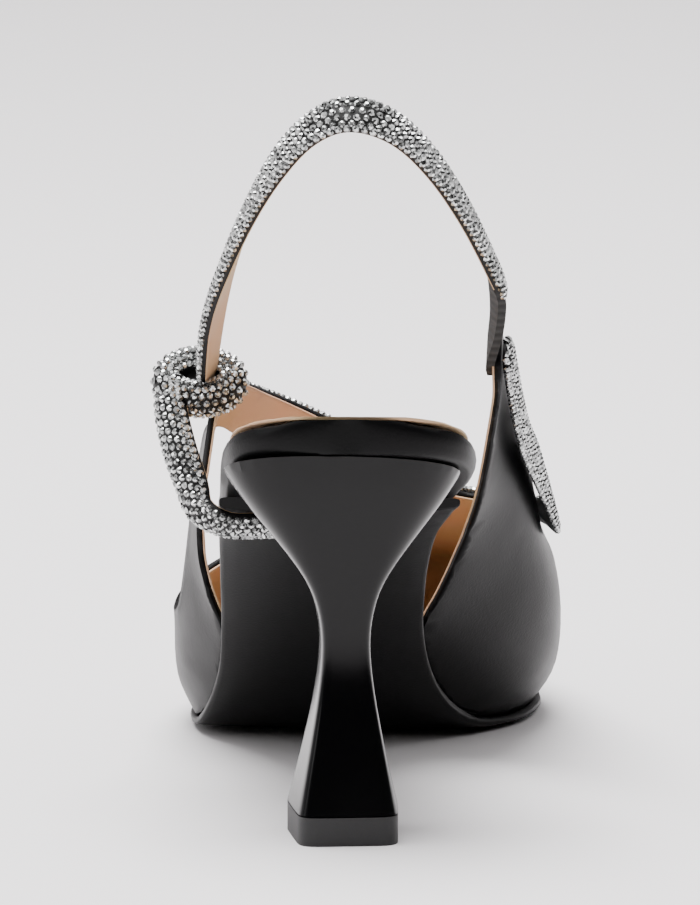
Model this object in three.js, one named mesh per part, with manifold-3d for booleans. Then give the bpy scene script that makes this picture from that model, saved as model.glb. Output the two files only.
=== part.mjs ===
// Slingback pump, left shoe: pointed toe, flared hourglass heel, jewelled sling with a knot
// Millimetres. X points to the inner side, Y to the toe, Z up. It is drawn from the back of the
// seat and set down with its origin on the floor, at the middle of the top lift.

import * as THREE from 'three';
import { mergeVertices } from 'three/addons/utils/BufferGeometryUtils.js';
import Module from 'manifold-3d';

const wasm = await Module();
wasm.setup();

// Driving dimensions
const SHOE_LENGTH = 228;
const BALL_WIDTH = 86;
const SEAT_RISE = 81.6;
const INSTEP_RISE = 57;
const UPPER_WALL = 1.6;
const SOLE_THICKNESS = 2.6;
const FOOTBED_THICKNESS = 2.2;
const SEAT_RIM_THICKNESS = 7.2;
const SOCK_THICKNESS = 0.7;
const SOCK_INSET = 2;
const CLEARANCE = 0.3;

const HEEL_BREAST = 40;
const HEEL_BASE_WIDTH = 22;
const HEEL_BASE_DEPTH = 23;
const HEEL_TOP_WIDTH = 53;
const HEEL_TOP_DEPTH = 40;
const HEEL_NECK_WIDTH = 9.9;
const HEEL_NECK_DEPTH = 11.4;
const HEEL_SWING = 6;
const HEEL_SIDESTEP = -1.7;
const HEEL_BACK = 2.6;
const TOP_LIFT_HEIGHT = 6;

const STRAP_WIDTH = 9;
const STRAP_THICKNESS = 3.2;
const TRIM_THICKNESS = 2.2;
const TRIM_MARGIN = 0.8;
const TRIM_END = 0.296;
const SLING_RISE = 68;
const SLING_HALF_WIDTH = 34;
const SLING_LEAN = 45;
const KNOT_X = -33.5;
const KNOT_Y = 60;
const KNOT_Z = 88;
const KNOT_RADIUS_ACROSS = 8;
const KNOT_RADIUS_ALONG = 5.6;
const KNOT_WIDTH = 8.6;
const KNOT_STRAP_THICKNESS = 3.5;
const RISER_FOOT_SHARE = 0.88;
const RISER_BACK = 16.7;
const RISER_BELOW_SOLE = 3.3;
const ELASTIC_WIDTH = 7.5;
const ELASTIC_THICKNESS = 1.2;
const ELASTIC_SLACK = 0.6;

// The plan of the sole. at: share of SHOE_LENGTH. inner, outer: edges, as shares of half BALL_WIDTH.
const PLAN = [
  { at: 0.000, inner: 0.09, outer: -0.12 },
  { at: 0.003, inner: 0.20, outer: -0.23 },
  { at: 0.012, inner: 0.345, outer: -0.375 },
  { at: 0.030, inner: 0.475, outer: -0.505 },
  { at: 0.057, inner: 0.565, outer: -0.602 },
  { at: 0.092, inner: 0.600, outer: -0.645 },
  { at: 0.135, inner: 0.570, outer: -0.660 },
  { at: 0.195, inner: 0.475, outer: -0.675 },
  { at: 0.263, inner: 0.375, outer: -0.690 },
  { at: 0.329, inner: 0.326, outer: -0.697 },
  { at: 0.395, inner: 0.305, outer: -0.706 },
  { at: 0.440, inner: 0.325, outer: -0.721 },
  { at: 0.475, inner: 0.372, outer: -0.756 },
  { at: 0.518, inner: 0.490, outer: -0.826 },
  { at: 0.561, inner: 0.655, outer: -0.885 },
  { at: 0.614, inner: 0.830, outer: -0.915 },
  { at: 0.680, inner: 0.890, outer: -0.870 },
  { at: 0.754, inner: 0.820, outer: -0.700 },
  { at: 0.833, inner: 0.640, outer: -0.440 },
  { at: 0.904, inner: 0.430, outer: -0.190 },
  { at: 0.956, inner: 0.290, outer: -0.015 },
  { at: 0.987, inner: 0.205, outer: 0.085 },
  { at: 1.000, inner: 0.165, outer: 0.125 },
];

// The underside of the sole. at: share of SHOE_LENGTH. rise: share of SEAT_RISE. The tread is flat.
const UNDERSIDE = [
  { at: 0.000, rise: 0.976 },
  { at: 0.066, rise: 0.908 },
  { at: 0.132, rise: 0.830 },
  { at: 0.197, rise: 0.755 },
  { at: 0.263, rise: 0.652 },
  { at: 0.329, rise: 0.506 },
  { at: 0.395, rise: 0.349 },
  { at: 0.439, rise: 0.235 },
  { at: 0.474, rise: 0.145 },
  { at: 0.500, rise: 0.081 },
  { at: 0.524, rise: 0.034 },
  { at: 0.545, rise: 0.008 },
  { at: 0.562, rise: 0.000 },
  { at: 0.660, rise: 0.000 },
  { at: 0.770, rise: 0.020 },
  { at: 0.880, rise: 0.055 },
  { at: 1.000, rise: 0.104 },
];

// The thickness of the footbed, from the thick wrapped seat rim to the thin forepart.
// at: share of SHOE_LENGTH. rim: 1 is SEAT_RIM_THICKNESS, 0 is FOOTBED_THICKNESS.
const FOOTBED = [
  { at: 0.000, rim: 1.00 },
  { at: 0.110, rim: 1.00 },
  { at: 0.180, rim: 0.84 },
  { at: 0.260, rim: 0.55 },
  { at: 0.350, rim: 0.22 },
  { at: 0.440, rim: 0.00 },
  { at: 1.000, rim: 0.00 },
];

// Sections of the last. at: share of SHOE_LENGTH. inner, outer: widest points, as shares of half
// BALL_WIDTH. innerUp, outerUp: heights of the widest points over the feather line, and ridgeUp,
// the height of the ridge, as shares of INSTEP_RISE. ridge: where the ridge runs, as a share of
// half BALL_WIDTH. innerTuck, outerTuck: how hollow the wall is under its widest point.
const LAST = [
  { at: 0.175, inner: 0.680, innerUp: 0.49, outer: -0.698, outerUp: 0.42, ridge: -0.05, ridgeUp: 1.44,
    innerTuck: 1.6, outerTuck: 1.2 },
  { at: 0.241, inner: 0.705, innerUp: 0.53, outer: -0.721, outerUp: 0.42, ridge: 0.00, ridgeUp: 1.19,
    innerTuck: 1.7, outerTuck: 1.2 },
  { at: 0.307, inner: 0.740, innerUp: 0.58, outer: -0.779, outerUp: 0.39, ridge: 0.07, ridgeUp: 1.02,
    innerTuck: 1.8, outerTuck: 1.1 },
  { at: 0.373, inner: 0.780, innerUp: 0.57, outer: -0.837, outerUp: 0.37, ridge: 0.12, ridgeUp: 0.97,
    innerTuck: 1.8, outerTuck: 1.0 },
  { at: 0.439, inner: 0.862, innerUp: 0.54, outer: -0.895, outerUp: 0.35, ridge: 0.16, ridgeUp: 0.98,
    innerTuck: 1.4, outerTuck: 0.8 },
  { at: 0.504, inner: 0.942, innerUp: 0.46, outer: -0.960, outerUp: 0.31, ridge: 0.19, ridgeUp: 1.00,
    innerTuck: 1.0, outerTuck: 0.6 },
  { at: 0.570, inner: 1.000, innerUp: 0.36, outer: -1.009, outerUp: 0.25, ridge: 0.19, ridgeUp: 0.91,
    innerTuck: 0.7, outerTuck: 0.5 },
  { at: 0.623, inner: 1.012, innerUp: 0.28, outer: -1.000, outerUp: 0.20, ridge: 0.17, ridgeUp: 0.79,
    innerTuck: 0.55, outerTuck: 0.5 },
  { at: 0.702, inner: 0.970, innerUp: 0.18, outer: -0.915, outerUp: 0.18, ridge: 0.14, ridgeUp: 0.65,
    innerTuck: 0.5, outerTuck: 0.5 },
  { at: 0.789, inner: 0.825, innerUp: 0.16, outer: -0.665, outerUp: 0.16, ridge: 0.12, ridgeUp: 0.51,
    innerTuck: 0.5, outerTuck: 0.5 },
  { at: 0.877, inner: 0.575, innerUp: 0.13, outer: -0.345, outerUp: 0.13, ridge: 0.12, ridgeUp: 0.38,
    innerTuck: 0.5, outerTuck: 0.5 },
  { at: 0.943, inner: 0.370, innerUp: 0.11, outer: -0.115, outerUp: 0.11, ridge: 0.13, ridgeUp: 0.27,
    innerTuck: 0.5, outerTuck: 0.5 },
  { at: 0.982, inner: 0.255, innerUp: 0.08, outer: 0.030, outerUp: 0.08, ridge: 0.145, ridgeUp: 0.18,
    innerTuck: 0.5, outerTuck: 0.5 },
  { at: 1.000, inner: 0.190, innerUp: 0.05, outer: 0.100, outerUp: 0.05, ridge: 0.145, ridgeUp: 0.10,
    innerTuck: 0.5, outerTuck: 0.5 },
];
const CROWN = { inner: 0.62, outer: 0.82 };
const GIRTH_AT_WIDEST = 0.75;

// The topline, from the elastic down the front of the inner wing, round the throat and up the
// instep band. at: share of SHOE_LENGTH. girth: 0 on the ridge, 1 and -1 on the feather lines.
const TOPLINE = [
  { at: 0.246, girth: 0.674 },
  { at: 0.270, girth: 0.665 },
  { at: 0.316, girth: 0.645 },
  { at: 0.364, girth: 0.600 },
  { at: 0.412, girth: 0.540 },
  { at: 0.456, girth: 0.490 },
  { at: 0.500, girth: 0.442 },
  { at: 0.540, girth: 0.382 },
  { at: 0.568, girth: 0.290 },
  { at: 0.584, girth: 0.170 },
  { at: 0.586, girth: 0.095 },
  { at: 0.574, girth: 0.035 },
  { at: 0.548, girth: 0.000 },
  { at: 0.515, girth: -0.030 },
  { at: 0.480, girth: -0.075 },
  { at: 0.439, girth: -0.165 },
  { at: 0.395, girth: -0.285 },
  { at: 0.351, girth: -0.400 },
  { at: 0.316, girth: -0.510 },
  { at: 0.289, girth: -0.600 },
  { at: 0.270, girth: -0.650 },
];

// The rest of the pattern's outline, on from the end of the trim at the knot: the tab in the
// knot, down the back of the outer arm, past the sole, and up the back of the inner wing.
const ARM_BACK = [
  { at: 0.267, girth: -0.676 },
  { at: 0.264, girth: -0.712 },
  { at: 0.268, girth: -0.740 },
  { at: 0.290, girth: -0.755 },
  { at: 0.325, girth: -0.770 },
  { at: 0.360, girth: -0.790 },
  { at: 0.383, girth: -0.840 },
  { at: 0.395, girth: -0.900 },
  { at: 0.402, girth: -1.000 },
];
const WING_BACK = [
  { at: 0.402, girth: 1.000 },
  { at: 0.398, girth: 0.940 },
  { at: 0.370, girth: 0.885 },
  { at: 0.332, girth: 0.854 },
  { at: 0.288, girth: 0.820 },
  { at: 0.246, girth: 0.778 },
  { at: 0.216, girth: 0.747 },
];

// The outer window, between the arm, the vamp and the instep band.
const WINDOW = [
  { at: 0.338, girth: -0.612 },
  { at: 0.377, girth: -0.637 },
  { at: 0.417, girth: -0.700 },
  { at: 0.452, girth: -0.740 },
  { at: 0.485, girth: -0.748 },
  { at: 0.520, girth: -0.710 },
  { at: 0.580, girth: -0.610 },
  { at: 0.640, girth: -0.470 },
  { at: 0.668, girth: -0.330 },
  { at: 0.662, girth: -0.170 },
  { at: 0.625, girth: -0.060 },
  { at: 0.580, girth: -0.100 },
  { at: 0.515, girth: -0.215 },
  { at: 0.450, girth: -0.335 },
  { at: 0.395, girth: -0.455 },
];

// The heel. level: height between the top lift (0), the neck (1) and the seat (2). width, depth:
// between the neck (0) and that end's own size (1). corner: the exponent of the rounded plan.
const HEEL = [
  { level: 0.00, width: 1.00, depth: 1.00, corner: 7.0 },
  { level: 0.20, width: 0.74, depth: 0.77, corner: 7.0 },
  { level: 0.41, width: 0.48, depth: 0.52, corner: 6.5 },
  { level: 0.62, width: 0.24, depth: 0.26, corner: 6.0 },
  { level: 0.82, width: 0.07, depth: 0.07, corner: 5.5 },
  { level: 1.00, width: 0.00, depth: 0.00, corner: 5.0 },
  { level: 1.14, width: 0.03, depth: 0.03, corner: 4.6 },
  { level: 1.28, width: 0.11, depth: 0.10, corner: 4.2 },
  { level: 1.41, width: 0.27, depth: 0.25, corner: 3.8 },
  { level: 1.55, width: 0.48, depth: 0.45, corner: 3.3 },
  { level: 1.69, width: 0.70, depth: 0.69, corner: 2.9 },
  { level: 1.80, width: 0.85, depth: 0.85, corner: 2.6 },
  { level: 1.89, width: 0.94, depth: 0.94, corner: 2.4 },
  { level: 2.00, width: 1.00, depth: 1.00, corner: 2.3 },
  { level: 2.12, width: 1.02, depth: 1.01, corner: 2.3 },
];
const HEEL_NECK_RISE = 41.5;

// The sling's arch in its own leaning plane. across: share of SLING_HALF_WIDTH. up: share of
// SLING_RISE, with 0 at the knot's middle less the end that the knot hides.
const SLING = [
  { across: -0.960, up: 0.000 },
  { across: -0.938, up: 0.120 },
  { across: -0.885, up: 0.290 },
  { across: -0.795, up: 0.450 },
  { across: -0.630, up: 0.660 },
  { across: -0.440, up: 0.835 },
  { across: -0.230, up: 0.955 },
  { across: 0.000, up: 1.000 },
  { across: 0.260, up: 0.955 },
  { across: 0.480, up: 0.835 },
  { across: 0.675, up: 0.660 },
  { across: 0.845, up: 0.450 },
  { across: 0.890, up: 0.380 },
];
const SLING_START = -2.4;

// How far the sling's front edge leans inward. at: share of the sling's length. roll: degrees.
const SLING_ROLL = [
  { at: 0.00, roll: 28 },
  { at: 0.18, roll: 26 },
  { at: 0.34, roll: 13 },
  { at: 0.48, roll: 3 },
  { at: 0.64, roll: 5 },
  { at: 0.82, roll: 11 },
  { at: 1.00, roll: 18 },
];

const halfBall = BALL_WIDTH / 2;

// A smooth curve through one column of a table, which never overshoots its rows
function through(rows, key, scale = 1, along = 'at', alongScale = SHOE_LENGTH) {
  const x = rows.map((row) => row[along] * alongScale);
  const y = rows.map((row) => row[key] * scale);
  const step = x.slice(1).map((value, i) => (y[i + 1] - y[i]) / (value - x[i]));
  const slope = y.map((_, i) => {
    if (i === 0) return step[0];
    if (i === y.length - 1) return step[i - 1];
    if (step[i - 1] * step[i] <= 0) return 0;
    return 2 / (1 / step[i - 1] + 1 / step[i]);
  });
  return (at) => {
    if (at <= x[0]) return y[0] + slope[0] * (at - x[0]);
    if (at >= x[x.length - 1]) return y[y.length - 1];
    let i = 0;
    while (at > x[i + 1]) i += 1;
    const span = x[i + 1] - x[i];
    const t = (at - x[i]) / span;
    const blend = t * t * (3 - 2 * t);
    const lead = t * (1 - t) * (1 - t) * slope[i] * span;
    const trail = t * t * (t - 1) * slope[i + 1] * span;
    return y[i] * (1 - blend) + y[i + 1] * blend + lead + trail;
  };
}

const soleInner = through(PLAN, 'inner', halfBall);
const soleOuter = through(PLAN, 'outer', halfBall);
const soleBottom = through(UNDERSIDE, 'rise', SEAT_RISE);
const rimShare = through(FOOTBED, 'rim');
const featherHeight = (y) => soleBottom(y) + SOLE_THICKNESS + CLEARANCE;
const footbedTop = (y) => {
  const thickness = FOOTBED_THICKNESS + rimShare(y) * (SEAT_RIM_THICKNESS - FOOTBED_THICKNESS);
  return featherHeight(y) + thickness;
};

const last = {};
for (const key of ['inner', 'outer', 'ridge']) last[key] = through(LAST, key, halfBall);
for (const key of ['innerUp', 'outerUp', 'ridgeUp']) last[key] = through(LAST, key, INSTEP_RISE);
for (const key of ['innerTuck', 'outerTuck']) last[key] = through(LAST, key);

// A point of the last's surface, at y along the shoe and at a girth from -1 to 1
function onLast(y, girth) {
  const side = girth >= 0 ? 'inner' : 'outer';
  const feather = side === 'inner' ? soleInner(y) : soleOuter(y);
  const ground = featherHeight(y);
  const widest = last[side](y);
  const widestUp = last[`${side}Up`](y);
  const share = Math.abs(girth);
  if (share > GIRTH_AT_WIDEST) {
    const rise = (1 - share) / (1 - GIRTH_AT_WIDEST);
    const out = Math.pow(Math.sin(Math.max(0, rise) * Math.PI / 2), last[`${side}Tuck`](y));
    return new THREE.Vector3(feather + (widest - feather) * out, y, ground + widestUp * rise);
  }
  const turn = (1 - share / GIRTH_AT_WIDEST) * Math.PI / 2;
  const out = Math.pow(Math.cos(turn), CROWN[side]);
  const rise = Math.pow(Math.sin(turn), CROWN[side]);
  const ridge = last.ridge(y);
  const ridgeUp = last.ridgeUp(y);
  const x = ridge + (widest - ridge) * out;
  return new THREE.Vector3(x, y, ground + widestUp + (ridgeUp - widestUp) * rise);
}

// The two directions along the last's surface, and the one straight out of it
function lastFrame(y, girth) {
  const stepY = 0.5;
  const stepGirth = 0.01;
  const high = Math.min(1, girth + stepGirth);
  const low = Math.max(-1, girth - stepGirth);
  const alongY = onLast(y + stepY, girth).sub(onLast(y - stepY, girth)).divideScalar(2 * stepY);
  const alongGirth = onLast(y, high).sub(onLast(y, low)).divideScalar(high - low);
  const out = alongGirth.clone().cross(alongY).normalize();
  return { alongY, alongGirth, out };
}

function offLast(y, girth, distance) {
  return onLast(y, girth).addScaledVector(lastFrame(y, girth).out, distance);
}

// Moves a place on the last by a length in millimetres, square to a path's direction
function slide(place, direction, distance) {
  const moves = 16;
  let { y, girth } = place;
  for (let i = 0; i < moves; i += 1) {
    const frame = lastFrame(y, girth);
    const sideways = direction.clone().cross(frame.out).normalize().multiplyScalar(distance / moves);
    const a = frame.alongY.dot(frame.alongY);
    const b = frame.alongY.dot(frame.alongGirth);
    const c = frame.alongGirth.dot(frame.alongGirth);
    const p = sideways.dot(frame.alongY);
    const q = sideways.dot(frame.alongGirth);
    const area = a * c - b * b;
    y += (p * c - q * b) / area;
    girth += (q * a - p * b) / area;
  }
  return { y, girth };
}

// A closed geometry of points and triangles, turned so that its faces point out
function closedGeometry(points, triangles) {
  const raw = new THREE.BufferGeometry().setFromPoints(points);
  raw.setIndex(triangles);
  const geometry = mergeVertices(raw, 1e-4);
  const position = geometry.attributes.position;
  const index = Array.from(geometry.index.array);
  const corner = [new THREE.Vector3(), new THREE.Vector3(), new THREE.Vector3()];
  const kept = [];
  let volume = 0;
  for (let i = 0; i < index.length; i += 3) {
    const [a, b, c] = index.slice(i, i + 3);
    if (a !== b && b !== c && c !== a) {
      kept.push(a, b, c);
      corner[0].fromBufferAttribute(position, a);
      corner[1].fromBufferAttribute(position, b);
      corner[2].fromBufferAttribute(position, c);
      volume += corner[0].dot(corner[1].cross(corner[2]));
    }
  }
  if (volume < 0) kept.reverse();
  geometry.setIndex(kept);
  return geometry;
}

// A library geometry with its shared corners merged
function bare(geometry) {
  geometry.deleteAttribute('normal');
  geometry.deleteAttribute('uv');
  return mergeVertices(geometry);
}

function solidOf(geometry) {
  const vertProperties = new Float32Array(geometry.attributes.position.array);
  const triVerts = new Uint32Array(geometry.index.array);
  return new wasm.Manifold(new wasm.Mesh({ numProp: 3, vertProperties, triVerts }));
}

// A solid skin over a row of closed rings with as many points each
function skin(rings, looped = false) {
  const count = rings[0].length;
  const points = rings.flat();
  const triangles = [];
  const rows = looped ? rings.length : rings.length - 1;
  for (let row = 0; row < rows; row += 1) {
    const next = (row + 1) % rings.length;
    for (let i = 0; i < count; i += 1) {
      const j = (i + 1) % count;
      const [a, b] = [row * count + i, row * count + j];
      const [c, d] = [next * count + j, next * count + i];
      triangles.push(a, b, c, a, c, d);
    }
  }
  if (!looped) {
    for (const row of [0, rings.length - 1]) {
      const middle = points.length;
      const centre = new THREE.Vector3();
      for (const point of rings[row]) centre.addScaledVector(point, 1 / count);
      points.push(centre);
      for (let i = 0; i < count; i += 1) {
        const [a, b] = [row * count + i, row * count + (i + 1) % count];
        if (row === 0) triangles.push(b, a, middle);
        else triangles.push(a, b, middle);
      }
    }
  }
  return solidOf(closedGeometry(points, triangles));
}

const spread = (from, to, count) => {
  return Array.from({ length: count }, (_, i) => from + (to - from) * i / (count - 1));
};

// Stations along the shoe, closer together towards round ends
function stations(from, to, count) {
  return spread(0, Math.PI, count).map((turn) => from + (to - from) * (1 - Math.cos(turn)) / 2);
}

// A plate that follows the sole's plan, with rounded sides. The roundness is a share of its height.
function plate({ from, to, count, inset, bottom, top, across, round }) {
  const sides = [0, 0.12, 0.5, 0.88, 1];
  const rings = stations(from, to, count).map((y) => {
    const [low, high] = [bottom(y), top(y)];
    const bulge = Math.min(round, (high - low) / 2);
    const left = soleOuter(y) + inset(y);
    const right = soleInner(y) - inset(y);
    const reach = Math.max(0.4, (right - left) / 2);
    const centre = (left + right) / 2;
    const tuck = (share) => Math.min(reach * 0.6, bulge * (1 - Math.sqrt(1 - (2 * share - 1) ** 2)));
    const ring = [];
    for (const share of sides) {
      ring.push(new THREE.Vector3(centre + reach - tuck(share), y, low + (high - low) * share));
    }
    const inside = spread(1, -1, across + 2).slice(1, -1);
    for (const share of inside) ring.push(new THREE.Vector3(centre + share * (reach - tuck(1)), y, high));
    for (const share of [...sides].reverse()) {
      ring.push(new THREE.Vector3(centre - reach + tuck(share), y, low + (high - low) * share));
    }
    for (const share of [...inside].reverse()) {
      ring.push(new THREE.Vector3(centre + share * (reach - tuck(0)), y, low));
    }
    return ring;
  });
  return skin(rings);
}

// A strap's section: flat towards the foot, domed outside. w: share of half the width, h: of the
// thickness.
const STRAP_SECTION = [
  { w: -0.90, h: 0.00 },
  { w: -1.00, h: 0.45 },
  { w: -0.78, h: 0.85 },
  { w: -0.30, h: 1.00 },
  { w: 0.30, h: 1.00 },
  { w: 0.78, h: 0.85 },
  { w: 1.00, h: 0.45 },
  { w: 0.90, h: 0.00 },
];

// A strap along frames, each with a point, the direction across the strap and the one out of it
function strap(frames, looped = false) {
  return skin(frames.map(({ point, across, out, width, thickness }) => STRAP_SECTION.map(({ w, h }) => {
    return point.clone()
      .addScaledVector(across, w * width / 2)
      .addScaledVector(out, (h - 0.5) * thickness);
  })), looped);
}

// The leather shell before its openings are cut: the last's skin less what lies inside the wall
function shellBetween(outside, inside, from, to) {
  const girths = spread(1, -1, 27);
  const outer = stationsOnLast(from, to).map((y) => girths.map((girth) => offLast(y, girth, outside)));
  const drop = INSTEP_RISE / 4;
  const toeFill = 9;
  const inner = stationsOnLast(from - 1, to - toeFill).map((y) => {
    const ring = girths.map((girth) => offLast(y, girth, inside));
    const [first, end] = [ring[0], ring[ring.length - 1]];
    ring.push(new THREE.Vector3(end.x, y, end.z - drop), new THREE.Vector3(first.x, y, first.z - drop));
    return ring;
  });
  return skin(outer).subtract(skin(inner));
}

function stationsOnLast(from, to) {
  return spread(0, 1, 32).map((share) => from + (to - from) * (share + 0.12 * Math.sin(share * Math.PI)));
}

// Points along a table of places on the last
function pathOnLast(rows, count) {
  const controls = rows.map((row) => new THREE.Vector3(row.at * SHOE_LENGTH, row.girth * 100, 0));
  const curve = new THREE.CatmullRomCurve3(controls, false, 'centripetal');
  return curve.getPoints(count - 1).map((point) => ({ y: point.x, girth: point.y / 100 }));
}

function directions(places) {
  return places.map((_, i) => {
    const before = places[Math.max(0, i - 1)];
    const after = places[Math.min(places.length - 1, i + 1)];
    return onLast(after.y, after.girth).sub(onLast(before.y, before.girth)).normalize();
  });
}

// A thick block whose outline is drawn on the last: flat triangles there are split until short
function blockOnLast(outline, holes, reach) {
  const flatGirth = 60;
  const drawn = (place) => new THREE.Vector2(place.y, place.girth * flatGirth);
  const contour = outline.map(drawn);
  const gaps = holes.map((hole) => hole.map(drawn));
  let triangles = THREE.ShapeUtils.triangulateShape(contour, gaps);
  const flat = [...contour, ...gaps.flat()];
  const longest = 9;
  const middles = new Map();
  const middle = (a, b) => {
    const key = a < b ? `${a},${b}` : `${b},${a}`;
    if (!middles.has(key)) {
      flat.push(flat[a].clone().add(flat[b]).multiplyScalar(0.5));
      middles.set(key, flat.length - 1);
    }
    return middles.get(key);
  };
  for (let split = true; split;) {
    split = false;
    triangles = triangles.flatMap(([a, b, c]) => {
      const long = [[a, b], [b, c], [c, a]].map(([p, q]) => flat[p].distanceTo(flat[q]) > longest);
      if (!long.some((value) => value)) return [[a, b, c]];
      split = true;
      const [ab, bc, ca] = [
        long[0] ? middle(a, b) : -1,
        long[1] ? middle(b, c) : -1,
        long[2] ? middle(c, a) : -1,
      ];
      return splitTriangle(a, b, c, ab, bc, ca);
    });
  }
  const count = flat.length;
  const points = [reach, -reach].flatMap((distance) => flat.map((place) => {
    const girth = THREE.MathUtils.clamp(place.y / flatGirth, -1, 1);
    const point = offLast(place.x, girth, distance);
    const past = Math.abs(place.y / flatGirth) - 1;
    if (past > 0) point.z -= past * flatGirth;
    return point;
  }));
  const faces = [];
  const edges = new Map();
  for (const [a, b, c] of triangles) {
    faces.push(a, b, c, count + c, count + b, count + a);
    for (const [p, q] of [[a, b], [b, c], [c, a]]) {
      if (edges.has(`${q},${p}`)) edges.delete(`${q},${p}`);
      else edges.set(`${p},${q}`, [p, q]);
    }
  }
  for (const [p, q] of edges.values()) faces.push(q, p, count + p, q, count + p, count + q);
  return solidOf(closedGeometry(points, faces));
}

function splitTriangle(a, b, c, ab, bc, ca) {
  if (ab >= 0 && bc >= 0 && ca >= 0) return [[a, ab, ca], [ab, b, bc], [ca, bc, c], [ab, bc, ca]];
  if (ab >= 0 && bc >= 0) return [[ab, b, bc], [a, ab, bc], [a, bc, c]];
  if (bc >= 0 && ca >= 0) return [[bc, c, ca], [b, bc, ca], [b, ca, a]];
  if (ca >= 0 && ab >= 0) return [[ca, a, ab], [c, ca, ab], [c, ab, b]];
  if (ab >= 0) return [[a, ab, c], [ab, b, c]];
  if (bc >= 0) return [[b, bc, a], [bc, c, a]];
  return [[c, ca, b], [ca, a, b]];
}

const topline = pathOnLast(TOPLINE, 46);
const toplineDirections = directions(topline);
const underTrim = topline.map((place, i) => slide(place, toplineDirections[i], STRAP_WIDTH / 2 + TRIM_MARGIN));
const trimPlaces = underTrim.filter(({ y, girth }) => girth > 0 || y > TRIM_END * SHOE_LENGTH);
const trimDirections = directions(trimPlaces);

function upper() {
  const from = 0.19 * SHOE_LENGTH;
  const shell = shellBetween(0, -UPPER_WALL, from, SHOE_LENGTH);
  const past = 1.3;
  const wholeFrom = 0.72 * SHOE_LENGTH;
  const outline = [
    ...topline,
    ...pathOnLast(ARM_BACK, 24),
    { y: 0.402 * SHOE_LENGTH, girth: -past },
    { y: wholeFrom, girth: -past },
    { y: wholeFrom, girth: past },
    { y: 0.402 * SHOE_LENGTH, girth: past },
    ...pathOnLast(WING_BACK, 20),
  ];
  const window = pathOnLast([...WINDOW, WINDOW[0]], 48).slice(0, -1);
  const pattern = blockOnLast(outline, [window.reverse()], 5);
  const toe = new THREE.BoxGeometry(2 * BALL_WIDTH, SHOE_LENGTH, 2 * SEAT_RISE);
  toe.translate(0, wholeFrom - 1 + SHOE_LENGTH / 2, 0);
  return shell.intersect(pattern.add(solidOf(bare(toe))));
}

function trim() {
  const frames = trimPlaces.map((place, i) => {
    const { out } = lastFrame(place.y, place.girth);
    const across = trimDirections[i].clone().cross(out).normalize();
    const point = onLast(place.y, place.girth).addScaledVector(out, CLEARANCE + 0.2 + TRIM_THICKNESS / 2);
    return { point, across, out, width: STRAP_WIDTH, thickness: TRIM_THICKNESS };
  });
  return strap(frames);
}

const never = () => 0;

function outsole() {
  return plate({
    from: HEEL_BREAST,
    to: SHOE_LENGTH,
    count: 44,
    inset: never,
    bottom: soleBottom,
    top: (y) => soleBottom(y) + SOLE_THICKNESS,
    across: 1,
    round: 0.9,
  });
}

// The footbed is as wide as the sole at the seat and the waist, and fits inside the upper ahead
const upperStart = 0.38 * SHOE_LENGTH;
const insideUpper = (y) => {
  return THREE.MathUtils.smoothstep(y, upperStart - 12, upperStart) * (UPPER_WALL + CLEARANCE);
};

function footbed() {
  return plate({
    from: 0,
    to: SHOE_LENGTH - 12,
    count: 52,
    inset: insideUpper,
    bottom: featherHeight,
    top: footbedTop,
    across: 1,
    round: 2.6,
  });
}

function sock() {
  return plate({
    from: SOCK_INSET,
    to: SHOE_LENGTH - 14,
    count: 48,
    inset: (y) => insideUpper(y) + SOCK_INSET,
    bottom: (y) => footbedTop(y) + CLEARANCE,
    top: (y) => footbedTop(y) + CLEARANCE + SOCK_THICKNESS,
    across: 1,
    round: 0.4,
  });
}

const liftMiddle = new THREE.Vector3(HEEL_SIDESTEP, HEEL_BACK + HEEL_BASE_DEPTH / 2, 0);

// One level ring of the heel or its top lift
function heelRing(z, width, depth, backY, corner, taper) {
  const swing = THREE.MathUtils.degToRad(HEEL_SWING);
  const axis = new THREE.Vector3(0, 0, 1);
  const square = 7;
  return spread(0, Math.PI * 2, 33).slice(0, -1).map((turn) => {
    const forward = Math.sin(turn) > 0;
    const power = 2 / (forward ? square : corner);
    const x = Math.sign(Math.cos(turn)) * Math.abs(Math.cos(turn)) ** power;
    const y = Math.sign(Math.sin(turn)) * Math.abs(Math.sin(turn)) ** power;
    const wide = width / 2 * (1 + taper * y);
    const point = new THREE.Vector3(HEEL_SIDESTEP + x * wide, backY + depth / 2 * (1 + y), z);
    return point.sub(liftMiddle).applyAxisAngle(axis, swing).add(liftMiddle);
  });
}

const heelTaper = 0.07;

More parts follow.
